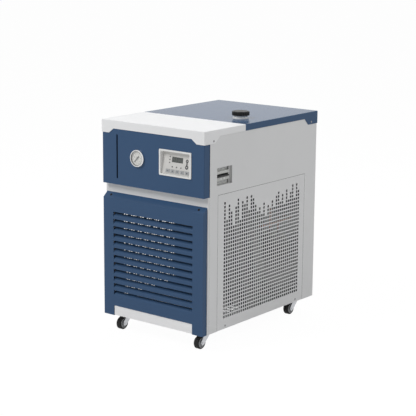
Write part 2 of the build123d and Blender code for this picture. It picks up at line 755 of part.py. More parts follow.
# Pressure gauge: steel case with its bezel, dial, glass and needle
with BuildPart() as gauge_case:
    with BuildSketch(Plane.YZ.offset(gauge_x)):
        with BuildLine():
            Polyline(
                (at_depth(-gauge_proud), gauge_z + gauge_diameter / 2 - 4),
                (at_depth(-gauge_proud), gauge_z + gauge_diameter / 2 - 1),
                (at_depth(-gauge_proud + 1.5), gauge_z + gauge_diameter / 2),
                (at_depth(panel_front), gauge_z + gauge_diameter / 2),
                (at_depth(panel_front), gauge_z + gauge_diameter / 2 - 4),
                (at_depth(32), gauge_z + gauge_diameter / 2 - 4),
                (at_depth(32), gauge_z),
                (at_depth(0.5), gauge_z),
                (at_depth(0.5), gauge_z + gauge_diameter / 2 - 4),
                close=True,
            )
        make_face()
    revolve(axis=Axis((gauge_x, at_depth(0), gauge_z), (0, 1, 0)))
    with BuildSketch(upright(32)):
        with Locations((gauge_x, gauge_z)):
            RegularPolygon(7, 6)
    extrude(amount=-22)
gauge_case.part.label = "gauge_case"
export_step(gauge_case.part, "parts/gauge_case.step")

dial_radius = gauge_diameter / 2 - 4
with BuildPart() as gauge_dial:
    with BuildSketch(upright(0.5)):
        with Locations((gauge_x, gauge_z)):
            Circle(dial_radius)
    extrude(amount=0.8)
    with BuildSketch(upright(-0.3)):
        with Locations((gauge_x, gauge_z)):
            Circle(1.2)
    extrude(amount=2.6)
gauge_dial.part.label = "gauge_dial"
export_step(gauge_dial.part, "parts/gauge_dial.step")

with BuildPart() as gauge_glass:
    with BuildSketch(upright(-4)):
        with Locations((gauge_x, gauge_z)):
            Circle(dial_radius)
    extrude(amount=1.6)
gauge_glass.part.label = "gauge_glass"
export_step(gauge_glass.part, "parts/gauge_glass.step")

# The needle rests at zero, low on the left, with its counterweight opposite
needle_angle = 225
with BuildPart() as gauge_needle:
    needle_plane = Plane(
        origin=(gauge_x, at_depth(-1.2), gauge_z),
        x_dir=(math.cos(math.radians(needle_angle)), 0, math.sin(math.radians(needle_angle))),
        z_dir=(0, -1, 0),
    )
    with BuildSketch(needle_plane):
        Circle(3)
        with BuildLine():
            Polyline((-9, -2.2), (0, -1.4), (18, -0.4), (18, 0.4), (0, 1.4), (-9, 2.2), close=True)
        make_face()
        Circle(1.25, mode=Mode.SUBTRACT)
    extrude(amount=0.7)
gauge_needle.part.label = "gauge_needle"
export_step(gauge_needle.part, "parts/gauge_needle.step")

# Controller: pale bezel with a wedge-shaped recess, its tilted face, window and keys
face_tilt = math.degrees(math.atan2(face_top_depth - face_bottom_depth, control_window[1]))
with BuildPart() as controller_bezel:
    with BuildSketch(upright(-1.5)):
        with Locations((control_x, control_z)):
            RectangleRounded(control_width, control_height, 2.5)
    extrude(amount=-3)
    with BuildSketch(upright(panel_front)):
        with Locations((control_x, control_z)):
            Rectangle(control_window[0] + 3, control_window[1] + 3)
    extrude(amount=-40)
    with BuildSketch(upright(-5)):
        with Locations((control_x, control_z)):
            Rectangle(control_window[0], control_window[1])
    extrude(amount=-60, mode=Mode.SUBTRACT)
controller_bezel.part.label = "controller_bezel"
export_step(controller_bezel.part, "parts/controller_bezel.step")

face_normal = (0, -math.cos(math.radians(face_tilt)), math.sin(math.radians(face_tilt)))
face_middle = (face_top_depth + face_bottom_depth) / 2
face_plane = Plane(origin=(control_x, at_depth(face_middle), control_z), x_dir=(1, 0, 0), z_dir=face_normal)
face_half_height = control_window[1] / 2 / math.cos(math.radians(face_tilt))
key_width = 15
key_height = 10.5
key_pitch = 18.8
key_row = -25.5
key_gap = 0.3
display_at = (1.5, 10.5)
display_size = (42.5, 16.5)
with BuildPart() as controller_face:
    with BuildSketch(face_plane):
        Rectangle(control_window[0], 2 * face_half_height - 0.8)
        with Locations((4.5, key_row)):
            with GridLocations(key_pitch, 1, 5, 1):
                Rectangle(key_width + 2 * key_gap, key_height + 2 * key_gap, mode=Mode.SUBTRACT)
        with Locations(display_at):
            Rectangle(*display_size, mode=Mode.SUBTRACT)
    extrude(amount=-2)
controller_face.part.label = "controller_face"
export_step(controller_face.part, "parts/controller_face.step")

with BuildPart() as display_window:
    with BuildSketch(face_plane.offset(-2)):
        with Locations(display_at):
            Rectangle(*display_size)
    extrude(amount=1.6)
display_window.part.label = "display_window"
export_step(display_window.part, "parts/display_window.step")

for index in range(5):
    with BuildPart() as key:
        with BuildSketch(face_plane.offset(-2.1)):
            with Locations((4.5 + (index - 2) * key_pitch, key_row)):
                RectangleRounded(key_width, key_height, 1.5)
        extrude(amount=3.1)
        with BuildSketch(face_plane.offset(-2.9)):
            with Locations((4.5 + (index - 2) * key_pitch, key_row)):
                Rectangle(key_width + 2, key_height + 2)
        extrude(amount=0.8)
    key.part.label = f"key_{index + 1}"
    export_step(key.part, f"parts/key_{index + 1}.step")

# Breaker: recessed box in the right side, the breaker body and its toggle bar
breaker_y = (breaker_front + 4, breaker_front + 66.5)
breaker_mid_z = (breaker_bottom + breaker_top) / 2
breaker_face = side_inner - breaker_recess
box_floor = breaker_face - 34
with BuildPart() as electrical_box:
    slab((box_floor, side_inner), (breaker_front - sheet, breaker_rear + sheet),
         (breaker_bottom - sheet, breaker_top + sheet))
    slab((box_floor + sheet, side_inner + 1), (breaker_front, breaker_rear),
         (breaker_bottom, breaker_top), mode=Mode.SUBTRACT)
    slab((breaker_face - 2 - sheet, breaker_face - 2), (breaker_y[1] + 0.8, breaker_rear + sheet),
         (breaker_bottom - sheet, breaker_top + sheet))
electrical_box.part.label = "electrical_box"
export_step(electrical_box.part, "parts/electrical_box.step")

toggle_axis_x = breaker_face - 3
trunnion_radius = 1.5
with BuildPart() as breaker_body:
    with BuildSketch(Plane.XZ.offset(-at_depth(breaker_y[0]))):
        with BuildLine():
            Polyline(
                (box_floor + sheet, breaker_bottom + 1),
                (breaker_face - 6, breaker_bottom + 1),
                (breaker_face - 6, breaker_mid_z - 14),
                (breaker_face, breaker_mid_z - 14),
                (breaker_face, breaker_mid_z + 14),
                (breaker_face - 6, breaker_mid_z + 14),
                (breaker_face - 6, breaker_top - 1),
                (box_floor + sheet, breaker_top - 1),
                close=True,
            )
        make_face()
    extrude(amount=-(breaker_y[1] - breaker_y[0]))
    slab((breaker_face - 12, breaker_face + 1), (breaker_y[0] + 4, breaker_y[1] - 4),
         (breaker_mid_z - 4.5, breaker_mid_z + 6), mode=Mode.SUBTRACT)
    with BuildSketch(upright(breaker_y[0] + 1.5)):
        with Locations((toggle_axis_x, breaker_mid_z)):
            Circle(trunnion_radius + run_fit)
    extrude(amount=-(breaker_y[1] - breaker_y[0] - 3), mode=Mode.SUBTRACT)
breaker_body.part.label = "breaker_body"
export_step(breaker_body.part, "parts/breaker_body.step")

with BuildPart() as breaker_toggle:
    with BuildSketch(Plane.XZ.offset(-at_depth(breaker_y[0] + 4.4))):
        with BuildLine():
            Polyline(
                (toggle_axis_x - 2.5, breaker_mid_z - 2.5),
                (toggle_axis_x + 2, breaker_mid_z - 2.8),
                (toggle_axis_x + 8, breaker_mid_z - 3.5),
                (toggle_axis_x + 8, breaker_mid_z - 0.5),
                (toggle_axis_x + 2, breaker_mid_z + 2.5),
                (toggle_axis_x - 2.5, breaker_mid_z + 2.5),
                close=True,
            )
        make_face()
    extrude(amount=-(breaker_y[1] - breaker_y[0] - 8.8))
    with BuildSketch(upright(breaker_y[0] + 1.7)):
        with Locations((toggle_axis_x, breaker_mid_z)):
            Circle(trunnion_radius)
    extrude(amount=-(breaker_y[1] - breaker_y[0] - 3.4))
breaker_toggle.part.label = "breaker_toggle"
export_step(breaker_toggle.part, "parts/breaker_toggle.step")


# Water ports: outlet and return stubs through the rear panel, each with a round flange
with BuildPart() as water_ports:
    face = side_rear + sheet
    end = cover_depth + port_reach
    for x, z in (outlet_at, return_at):
        with BuildSketch(Plane.YZ.offset(x)):
            with BuildLine():
                Polyline(
                    (at_depth(face - port_inside), z + port_bore),
                    (at_depth(face - port_inside), z + port_thread),
                    (at_depth(face), z + port_thread),
                    (at_depth(face), z + port_flange),
                    (at_depth(face + 7), z + port_flange),
                    (at_depth(face + 7), z + port_radius),
                    (at_depth(end), z + port_radius),
                    (at_depth(end), z + port_bore),
                    close=True,
                )
            make_face()
        revolve(axis=Axis((x, at_depth(0), z), (0, 1, 0)))
water_ports.part.label = "water_ports"
export_step(water_ports.part, "parts/water_ports.step")

# Drain: a short threaded spout with a plug pushed over its end
with BuildPart() as drain_port:
    with BuildSketch(upright(side_rear - 18)):
        with Locations(drain_at):
            Circle(8.8)
            Circle(5, mode=Mode.SUBTRACT)
    extrude(amount=-30)
    with BuildSketch(upright(side_rear + sheet)):
        with Locations(drain_at):
            Circle(12)
            Circle(8.8, mode=Mode.SUBTRACT)
    extrude(amount=-4)
drain_port.part.label = "drain_port"
export_step(drain_port.part, "parts/drain_port.step")

with BuildPart() as drain_plug:
    with BuildSketch(upright(side_rear + 12)):
        with Locations(drain_at):
            RegularPolygon(11, 6)
    extrude(amount=-8)
    with BuildSketch(upright(side_rear + 4)):
        with Locations(drain_at):
            Circle(5)
    extrude(amount=-8)
drain_plug.part.label = "drain_plug"
export_step(drain_plug.part, "parts/drain_plug.step")

# Cable gland: flange nut and domed nut with an open bore
with BuildPart() as cable_gland:
    with BuildSketch(upright(side_rear - 10)):
        with Locations(gland_at):
            Circle(7.8)
    extrude(amount=-16)
    with BuildSketch(upright(side_rear + sheet)):
        with Locations(gland_at):
            RegularPolygon(13, 6)
    extrude(amount=-6)
    with BuildSketch(upright(side_rear + sheet + 6)):
        with Locations(gland_at):
            Circle(10.5)
    extrude(amount=-13, taper=12)
    with BuildSketch(upright(side_rear - 12)):
        with Locations(gland_at):
            Circle(4.5)
    extrude(amount=-40, mode=Mode.SUBTRACT)
cable_gland.part.label = "cable_gland"
export_step(cable_gland.part, "parts/cable_gland.step")

# Castors: top plates with race and kingpin, then fork, rim and tyre at each corner
castor_places = [
    ("front_left", -castor_x, castor_front),
    ("front_right", castor_x, castor_front),
    ("rear_left", -castor_x, castor_rear),
    ("rear_right", castor_x, castor_rear),
]
plate_thickness = 2
race_bottom = bottom_z - plate_thickness - 4.5
yoke_top = race_bottom - 0.4
yoke_bottom = yoke_top - 3
kingpin_head = yoke_bottom - 0.4

with BuildPart() as castor_plates:
    for name, x, depth in castor_places:
        with BuildSketch(Plane.XY.offset(bottom_z - plate_thickness)):
            with Locations((x, at_depth(depth))):
                Rectangle(56, 46)
        extrude(amount=plate_thickness)
        with BuildSketch(Plane.XY.offset(race_bottom)):
            with Locations((x, at_depth(depth))):
                Circle(15)
        extrude(amount=bottom_z - plate_thickness - race_bottom, taper=-10)
        with BuildSketch(Plane.XY.offset(kingpin_head - 2.5)):
            with Locations((x, at_depth(depth))):
                Circle(swivel_radius)
        extrude(amount=race_bottom - kingpin_head + 2.5)
        with BuildSketch(Plane.XY.offset(kingpin_head - 2.5)):
            with Locations((x, at_depth(depth))):
                Circle(7)
        extrude(amount=2.5)
castor_plates.part.label = "castor_plates"
export_step(castor_plates.part, "parts/castor_plates.step")

fork_inner = wheel_width / 2 + 1.6
fork_sheet = 2.4
for name, x, depth in castor_places:
    axle_y = at_depth(depth - castor_trail)
    with BuildPart() as castor_fork:
        with BuildSketch(Plane.XY.offset(yoke_bottom)):
            with Locations((x, at_depth(depth))):
                Circle(17)
        extrude(amount=yoke_top - yoke_bottom)
        for cheek in (x - fork_inner - fork_sheet, x + fork_inner):
            with BuildSketch(Plane.YZ.offset(cheek)):
                with BuildLine():
                    Polyline(
                        (at_depth(depth - 12), yoke_top),
                        (at_depth(depth + 12), yoke_top),
                        (at_depth(depth + 12), yoke_bottom - 3),
                        (axle_y + 7, wheel_radius - 5),
                        (axle_y - 3, wheel_radius - 8),
                        (axle_y - 8, wheel_radius),
                        (axle_y - 6, wheel_radius + 7),
                        close=True,
                    )
                make_face()
            extrude(amount=fork_sheet)
        with BuildSketch(Plane.YZ.offset(x - fork_inner - fork_sheet - 1)):
            with Locations((axle_y, wheel_radius)):
                Circle(axle_radius)
        extrude(amount=2 * (fork_inner + fork_sheet + 1))
        with BuildSketch(Plane.XY.offset(yoke_bottom - 1)):
            with Locations((x, at_depth(depth))):
                Circle(swivel_radius + run_fit)
        extrude(amount=8, mode=Mode.SUBTRACT)
    castor_fork.part.label = f"castor_fork_{name}"
    export_step(castor_fork.part, f"parts/castor_fork_{name}.step")

    with BuildPart() as castor_rim:
        with BuildSketch(Plane.XY.offset(wheel_radius)):
            with BuildLine():
                Polyline(
                    (x - wheel_width / 2 - 1, axle_y - axle_radius - run_fit),
                    (x - wheel_width / 2 - 1, axle_y - 6),
                    (x - wheel_width / 2 + 3, axle_y - 7.5),
                    (x - wheel_width / 2 + 3, axle_y - 12),
                    (x - wheel_width / 2, axle_y - 13),
                    (x - wheel_width / 2, axle_y - rim_radius),
                    (x + wheel_width / 2, axle_y - rim_radius),
                    (x + wheel_width / 2, axle_y - 13),
                    (x + wheel_width / 2 - 3, axle_y - 12),
                    (x + wheel_width / 2 - 3, axle_y - 7.5),
                    (x + wheel_width / 2 + 1, axle_y - 6),
                    (x + wheel_width / 2 + 1, axle_y - axle_radius - run_fit),
                    close=True,
                )
            make_face()
        revolve(axis=Axis((x, axle_y, wheel_radius), (1, 0, 0)))
    castor_rim.part.label = f"castor_rim_{name}"
    export_step(castor_rim.part, f"parts/castor_rim_{name}.step")

    with BuildPart() as castor_tyre:
        with BuildSketch(Plane.XY.offset(wheel_radius)):
            with BuildLine():
                Polyline(
                    (x - wheel_width / 2, axle_y - rim_radius),
                    (x - wheel_width / 2, axle_y - wheel_radius + 2),
                    (x - wheel_width / 2 + 2, axle_y - wheel_radius),
                    (x + wheel_width / 2 - 2, axle_y - wheel_radius),
                    (x + wheel_width / 2, axle_y - wheel_radius + 2),
                    (x + wheel_width / 2, axle_y - rim_radius),
                    close=True,
                )
            make_face()
        revolve(axis=Axis((x, axle_y, wheel_radius), (1, 0, 0)))
    castor_tyre.part.label = f"castor_tyre_{name}"
    export_step(castor_tyre.part, f"parts/castor_tyre_{name}.step")
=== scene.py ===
import bmesh
import bpy
import math
from mathutils import Matrix, Vector


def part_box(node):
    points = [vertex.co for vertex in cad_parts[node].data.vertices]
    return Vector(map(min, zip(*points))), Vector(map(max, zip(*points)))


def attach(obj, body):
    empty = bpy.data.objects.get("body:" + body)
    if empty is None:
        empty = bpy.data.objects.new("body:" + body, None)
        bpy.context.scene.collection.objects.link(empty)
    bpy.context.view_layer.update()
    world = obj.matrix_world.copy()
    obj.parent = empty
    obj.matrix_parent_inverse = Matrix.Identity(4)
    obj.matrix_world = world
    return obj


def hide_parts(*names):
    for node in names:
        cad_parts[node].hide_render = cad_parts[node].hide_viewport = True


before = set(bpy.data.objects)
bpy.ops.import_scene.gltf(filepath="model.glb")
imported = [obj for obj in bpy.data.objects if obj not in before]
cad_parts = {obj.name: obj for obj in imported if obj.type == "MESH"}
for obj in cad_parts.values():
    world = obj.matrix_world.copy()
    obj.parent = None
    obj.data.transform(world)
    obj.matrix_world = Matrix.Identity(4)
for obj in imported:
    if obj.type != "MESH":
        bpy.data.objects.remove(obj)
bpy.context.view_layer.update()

# Lengths are in metres; a depth is in millimetres behind the covers' front face
mm = 0.001
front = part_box("front_top_cover")[0][1]

# The photograph's viewpoint
image_pixels = 416
focal_pixels = 1311.12
sensor_width = 36
camera_turn = math.radians(38.086)
camera_height_angle = math.radians(12.250)
camera_roll = math.radians(0.437)
camera_x = 2.5655
camera_before_front = 2.9927
camera_z = 1.2852

# Bounds of the cabinet's inside, whose faces get near-black painted shade
inner_half_width = 204.3 * mm
inner_start_depth = 21.5
inner_end_depth = 596
inner_floor_z = 57.5 * mm

# Sides and their fine perforation
side_outer = 204.6 * mm
hole_column_pitch = 11.31 * mm
hole_row_pitch = 11.6 * mm
vent_shadow_gap = 0.5 * mm
hole_width = 7.5 * mm
hole_height = 7.8 * mm
first_hole_depth = 103.5
first_hole_z = 95 * mm
skyline = [31, 26, 30, 28, 24, 29, 31, 25, 30, 29, 31, 27, 31, 30, 28, 26, 27, 25,
           28, 24, 27, 26, 28, 26, 29, 30, 27, 29, 26, 30, 27, 29, 31, 27, 31, 29]

# Screw heads on both sides, on the rear and in the lower front panel's bevel
cover_screw_x = 206 * mm
cover_screw_depths = (43.5, 562.5)
cover_screw_z = 653 * mm
side_screw_depths = (110, 492.5)
side_screw_z = 66 * mm
rear_screw_x = 180 * mm
rear_screw_depth = 597.6
rear_screw_heights = (90 * mm, 350 * mm, 620 * mm)
bevel_screw_x = 177 * mm
bevel_screw_depth = 10.75
bevel_screw_z = 446 * mm
bevel_normal = (0, -16, 18.5)
bevel_end_depth = 25
pan_radius = 3.2 * mm
pan_height = 1.4 * mm

# Gauge
gauge_x = -57 * mm
gauge_z = 577 * mm
dial_depth = -0.3
dial_radius = 23 * mm
scale_start = 225
scale_sweep = 270

# Controller face, which leans back at its top
face_x = 93 * mm
face_z = 577.5 * mm
face_depth = 8.5
face_tilt = math.atan2(10, 70)
key_pitch = 18.8 * mm
first_key_x = 4.5 * mm - 2 * key_pitch
key_row = -25.5 * mm
key_face = 1.0 * mm
display_x = 1.5 * mm
display_up = 10.5 * mm
sign_x = 39 * mm
sign_bulb_up = -8 * mm
sign_head_up = 11 * mm
lamp_column_x = -28 * mm
lamp_column_ups = (18.3 * mm, 9.4 * mm, 0.5 * mm)
lamp_row_xs = (-16.8 * mm, 0.2 * mm, 17.2 * mm)
lamp_row_up = -11.9 * mm

# Breaker
breaker_x = 198.4 * mm
breaker_z = 541.25 * mm
breaker_start_depth = 66.8
breaker_end_depth = 129.3
breaker_modules = 4
terminal_rows = (-20.5 * mm, 20.5 * mm)
terminal_sink = 6 * mm

# Light
ambient_level = 0.32
floor_half_width = 60
floor_glow = 1.03
floor_glow_share = 0.94


def at_depth(depth):
    """The y, in metres, of a point this many millimetres behind the covers' front face."""
    return front + depth * mm


# Shader maths
class Field:
    """A value in a node tree; Python's operators on it add Math nodes."""

    def __init__(self, finish, socket):
        self.finish = finish
        self.socket = socket

    def math(self, operation, first, second=None):
        values = {0: first}
        if second is not None:
            values[1] = second
        return self.finish.node("ShaderNodeMath", {"operation": operation}, values).out()

    def __add__(self, other):
        return self.math("ADD", self, other)

    def __radd__(self, other):
        return self.math("ADD", other, self)

    def __sub__(self, other):
        return self.math("SUBTRACT", self, other)

    def __mul__(self, other):
        return self.math("MULTIPLY", self, other)

    def __rmul__(self, other):
        return self.math("MULTIPLY", other, self)

    def __gt__(self, other):
        return self.math("GREATER_THAN", self, other)

    def __lt__(self, other):
        return self.math("LESS_THAN", self, other)

    def power(self, exponent):
        return self.math("POWER", self, exponent)

    def size(self):
        return self.math("ABSOLUTE", self)

    def sine(self):
        return self.math("SINE", self)


class Node:
    """A node that was added to a finish, with its outputs as fields."""

    def __init__(self, finish, made):
        self.finish = finish
        self.made = made

    def out(self, name=0):
        return Field(self.finish, self.made.outputs[name])


class Finish:
    """A material: its Principled shader and one way to add any other node."""

    def __init__(self, name, color, roughness, metallic=0.0, **constants):
        self.material = bpy.data.materials.new(name)
        self.material.use_nodes = True
        self.tree = self.material.node_tree
        self.shader = self.tree.nodes["Principled BSDF"]
        self.set("Base Color", (*color, 1))
        self.set("Roughness", roughness)
        self.set("Metallic", metallic)
        for socket, value in constants.items():
            self.set(socket.replace("_", " "), value)

    def set(self, socket, value):
        """Feed one socket of the shader with a constant or a field."""
        self.feed(self.shader.inputs[socket], value)

    def feed(self, socket, value):
        """Feed any socket with a constant or a field."""
        if isinstance(value, Field):
            self.tree.links.new(value.socket, socket)
        else:
            socket.default_value = value

    def node(self, kind, settings=None, values=None):
        """Add a node of a kind, with its settings first and then its sockets' values."""
        made = self.tree.nodes.new(kind)
        for name, value in (settings or {}).items():
            setattr(made, name, value)
        for name, value in (values or {}).items():
            self.feed(made.inputs[name], value)
        return Node(self, made)

    def place(self):
        """Object coordinates."""
        return self.node("ShaderNodeTexCoord").out("Object")

    def noise(self, scale, detail=2.0, stretch=None):
        """Noise over the object, in features of about one part in scale of a metre."""
        where = self.place()
        if stretch:
            where = self.node("ShaderNodeMapping", None, {"Vector": where, "Scale": stretch}).out()
        values = {"Vector": where, "Scale": scale, "Detail": detail}
        return self.node("ShaderNodeTexNoise", None, values).out("Fac")

    def along(self, axis):
        """One object coordinate, in metres."""
        return self.node("ShaderNodeSeparateXYZ", None, {"Vector": self.place()}).out(axis)

    def inside(self):
        """1 on surfaces that face the cabinet's inside, where painted shade goes, 0 on its outside."""
        between_sides = self.along("X").size() < inner_half_width
        behind_front = self.along("Y") > at_depth(inner_start_depth)
        before_rear = self.along("Y") < at_depth(inner_end_depth)
        above_floor = self.along("Z") > inner_floor_z
        return between_sides * behind_front * before_rear * above_floor

    def shade(self, factor, dark, light):
        """A colour between two, by a field from 0 to 1; the dark one may be a field too."""
        mix = self.node("ShaderNodeMix", {"data_type": "RGBA"})
        self.feed(mix.made.inputs[0], factor)
        self.feed(mix.made.inputs[6], dark if isinstance(dark, Field) else (*dark, 1))
        self.feed(mix.made.inputs[7], (*light, 1))
        return mix.out(2)

    def bump(self, height, strength, distance):
        """Bump from a height field, fed to the shader's normal."""
        values = {"Height": height, "Strength": strength, "Distance": distance}
        self.set("Normal", self.node("ShaderNodeBump", None, values).out("Normal"))


def scaled(color, factor):
    """A colour with every channel multiplied."""
    return tuple(channel * factor for channel in color)


# Materials
def powder_coat(name, color, roughness, specular=0.4, peel_height=0.12, drift=0.04, shade_inside=False):
    """Baked paint with a faint orange peel and a slow drift of tone; near-black painted shade inside
    if asked.
    """
    finish = Finish(name, color, roughness, Specular_IOR_Level=specular)
    tone = finish.shade(finish.noise(7, 3), scaled(color, 1 - drift), scaled(color, 1 + drift))
    if shade_inside:
        # Painted shade: faces inside the cabinet and the walls of the side holes go near black, for
        # the unlit interior.
        tone = finish.shade(finish.inside(), tone, (0.01, 0.01, 0.011))
    finish.set("Base Color", tone)
    peel = finish.noise(650, 2)
    finish.set("Roughness", roughness - 0.04 + 0.08 * peel)
    finish.bump(peel, peel_height, 0.0002)
    return finish.material


def moulded_plastic(name, color, roughness, specular=0.5):
    """Spark-textured plastic."""
    finish = Finish(name, color, roughness, Specular_IOR_Level=specular)
    grain = finish.noise(1500, 3)
    cloud = finish.noise(40, 3)
    finish.set("Base Color", finish.shade(cloud, scaled(color, 0.92), scaled(color, 1.08)))
    finish.set("Roughness", roughness - 0.06 + 0.12 * grain)
    finish.bump(grain, 0.25, 0.0001)
    return finish.material


def worked_metal(name, color, roughness, stretch, depth=0.15, dark=None):
    """Metal with fine streaks along one direction and cloudy tone, near black where a mask is 1
    (painted shade for the gauge's throat, black screw heads for the bevel).
    """
    finish = Finish(name, color, roughness, 1.0)
    streak = finish.noise(900, 3, stretch)
    cloud = finish.noise(30, 4)
    tone = finish.shade(cloud, scaled(color, 0.88), scaled(color, 1.05))
    if dark:
        # Near black where the mask says: painted shade on the gauge case's inner wall, the own black
        # of the bevel's screw heads.
        tone = finish.shade(dark(finish), tone, (0.02, 0.02, 0.021))
    finish.set("Base Color", tone)
    finish.set("Roughness", roughness - 0.08 + 0.16 * streak)
    finish.bump(streak, depth, 0.0001)
    return finish.material


def gauge_throat_shade(finish):
    """1 on the gauge case's inner wall, between its bezel and the dial, which gets painted shade."""
    across = finish.along("X") - gauge_x
    up = finish.along("Z") - gauge_z
    return (across * across + up * up).power(0.5) < dial_radius + 0.4 * mm


def bevel_heads(finish):
    """1 on the blackened screws in the lower front panel's bevel."""
    return finish.along("Y") < at_depth(bevel_end_depth)


def spangled_zinc(name):
    """Zinc-plated steel with its pale crystals."""
    finish = Finish(name, (0.55, 0.56, 0.58), 0.34, 1.0)
    settings = {"feature": "F1", "distance": "CHEBYCHEV"}
    cells = finish.node("ShaderNodeTexVoronoi", settings, {"Vector": finish.place(), "Scale": 260})
    tone = finish.noise(90, 3) * 0.5 + cells.out("Distance") * 0.5
    finish.set("Base Color", finish.shade(tone, (0.42, 0.43, 0.45), (0.66, 0.67, 0.69)))
    finish.set("Roughness", 0.28 + 0.16 * tone)
    return finish.material


def black_rubber(name, shade):
    """Rubber with a dusty bloom."""
    finish = Finish(name, (shade, shade, shade), 0.75, Specular_IOR_Level=0.35)
    dust = finish.noise(160, 5)
    finish.set("Base Color", finish.shade(dust, (shade * 0.7,) * 3, (shade * 1.5,) * 3))
    finish.set("Roughness", 0.62 + 0.25 * dust)
    finish.bump(finish.noise(2200, 2), 0.3, 0.0001)
    return finish.material


def clear_glass(name):
    """Thin clear glass over the dial."""
    finish = Finish(name, (0.95, 0.97, 0.97), 0.03, Alpha=0.12)
    finish.set("Roughness", 0.02 + 0.03 * finish.noise(60, 2))
    return finish.material


def dark_window(name, color):
    """Smoked glossy plastic."""
    finish = Finish(name, color, 0.16)
    haze = finish.noise(120, 4)
    finish.set("Base Color", finish.shade(haze, scaled(color, 0.9), scaled(color, 1.15)))
    finish.set("Roughness", 0.12 + 0.1 * haze)
    return finish.material


def finned_block(name):
    """Aluminium fins, a plate every two millimetres, drawn as painted light on their edges and painted
    shade between them.
    """
    finish = Finish(name, (0.5, 0.51, 0.52), 0.4, 1.0)
    fin_pitch = 2 * mm
    # Painted light and shade: bright stripes for the lit fin edges, near black for the shade between
    # the plates.
    painted_fin_light = (finish.along("X") * (2 * math.pi / fin_pitch)).sine() * 0.5 + 0.5
    finish.set("Base Color", finish.shade(painted_fin_light, (0.03, 0.03, 0.033), (0.16, 0.165, 0.17)))
    finish.bump(painted_fin_light, 0.6, 0.0008)
    return finish.material


def printed_card(name, color):
    """Printed sheet of the dial, faintly mottled."""
    finish = Finish(name, color, 0.5)
    mottle = finish.noise(220, 4)
    finish.set("Base Color", finish.shade(mottle, scaled(color, 0.95), scaled(color, 1.02)))
    return finish.material


def threaded_brass(name):
    """Turned brass with fine rings along the pipe stubs."""
    finish = Finish(name, (0.66, 0.50, 0.24), 0.3, 1.0)
    ring_pitch = 1.3 * mm
    rings = (finish.along("Y") * (2 * math.pi / ring_pitch)).sine()
    tarnish = finish.noise(70, 4)
    finish.set("Base Color", finish.shade(tarnish, (0.5, 0.36, 0.16), (0.74, 0.58, 0.3)))
    finish.bump(rings, 0.35, 0.0006)
    return finish.material


white_paint = powder_coat("white_paint", (0.86, 0.865, 0.875), 0.42)
# The base tray's white is a lighter copy of the white paint: painted light for the floor's bounce on
# the kick plate.
bounce_lit_tray_paint = powder_coat("bounce_lit_tray_paint", (0.92, 0.92, 0.925), 0.42)
box_paint = powder_coat("box_paint", (0.62, 0.62, 0.62), 0.5)
blue_paint = powder_coat("blue_paint", (0.048, 0.098, 0.192), 0.2, 0.11, 0.04)
# The grey sheets get painted shade on their inner faces and hole walls.
grey_paint = powder_coat("grey_paint", (0.735, 0.74, 0.745), 0.45, 0.4, 0.1, 0.03, shade_inside=True)
black_paint = powder_coat("black_paint", (0.02, 0.02, 0.022), 0.35)
cast_paint = powder_coat("cast_paint", (0.20, 0.21, 0.22), 0.5)
stainless = worked_metal("stainless", (0.60, 0.60, 0.60), 0.36, (1, 1, 0.04))
# The bezel's steel gets painted shade on its inner wall, between bezel and dial.
bezel_steel = worked_metal("bezel_steel", (0.74, 0.74, 0.74), 0.2, (1, 0.05, 1), 0.04, gauge_throat_shade)
screw_steel = worked_metal("screw_steel", (0.30, 0.30, 0.31), 0.4, (1, 0.05, 1), 0.04, bevel_heads)
copper = worked_metal("copper", (0.72, 0.38, 0.25), 0.3, (1, 1, 0.1))
brass = threaded_brass("brass")
zinc = spangled_zinc("zinc")
fins = finned_block("fins")
black_plastic = moulded_plastic("black_plastic", (0.011, 0.011, 0.012), 0.36)
cap_plastic = moulded_plastic("cap_plastic", (0.010, 0.010, 0.010), 0.4, 0.3)
pale_plastic = moulded_plastic("pale_plastic", (0.84, 0.84, 0.83), 0.4)
face_plastic = moulded_plastic("face_plastic", (0.66, 0.65, 0.63), 0.45)
key_plastic = moulded_plastic("key_plastic", (0.40, 0.41, 0.42), 0.5)
body_plastic = moulded_plastic("body_plastic", (0.60, 0.61, 0.59), 0.42)
white_plastic = moulded_plastic("white_plastic", (0.88, 0.88, 0.86), 0.35)
mark_ink = moulded_plastic("mark_ink", (0.035, 0.037, 0.04), 0.55)
segment_ink = moulded_plastic("segment_ink", (0.17, 0.18, 0.17), 0.35)
rubber = black_rubber("rubber", 0.03)
tyre_rubber = black_rubber("tyre_rubber", 0.008)
rim_plastic = moulded_plastic("rim_plastic", (0.38, 0.39, 0.40), 0.42)
hose_rubber = black_rubber("hose_rubber", 0.05)
glass = clear_glass("glass")
smoked = dark_window("smoked", (0.012, 0.013, 0.015))
display_glass = dark_window("display_glass", (0.055, 0.062, 0.06))
dial_card = printed_card("dial_card", (0.80, 0.79, 0.75))

node_finishes = {
    "front_top_cover": white_paint,
    "rear_top_cover": blue_paint,
    "upper_front_panel": blue_paint,
    "lower_front_panel": blue_paint,
    "base_tray": bounce_lit_tray_paint,
    "reservoir_tank": stainless,
    "tank_shelf": zinc,
    "filler_neck": white_plastic,
    "filler_cap": cap_plastic,
    "cap_gasket": rubber,
    "evaporator": stainless,
    "compressor": black_paint,
    "compressor_mounts": rubber,
    "condenser": fins,
    "fan_shroud": black_paint,
    "fan_motor": black_paint,
    "fan_rotor": black_plastic,
    "circulation_pump": cast_paint,
    "refrigerant_lines": copper,
    "water_hoses": hose_rubber,
    "level_tube": smoked,
    "gauge_case": bezel_steel,
    "gauge_dial": dial_card,
    "gauge_glass": glass,
    "gauge_needle": black_plastic,
    "controller_bezel": pale_plastic,
    "controller_face": face_plastic,
    "display_window": display_glass,
    "electrical_box": box_paint,
    "breaker_body": body_plastic,
    "breaker_toggle": black_plastic,
    "water_ports": brass,
    "drain_port": brass,
    "drain_plug": black_plastic,
    "cable_gland": black_plastic,
    "castor_plates": zinc,
}
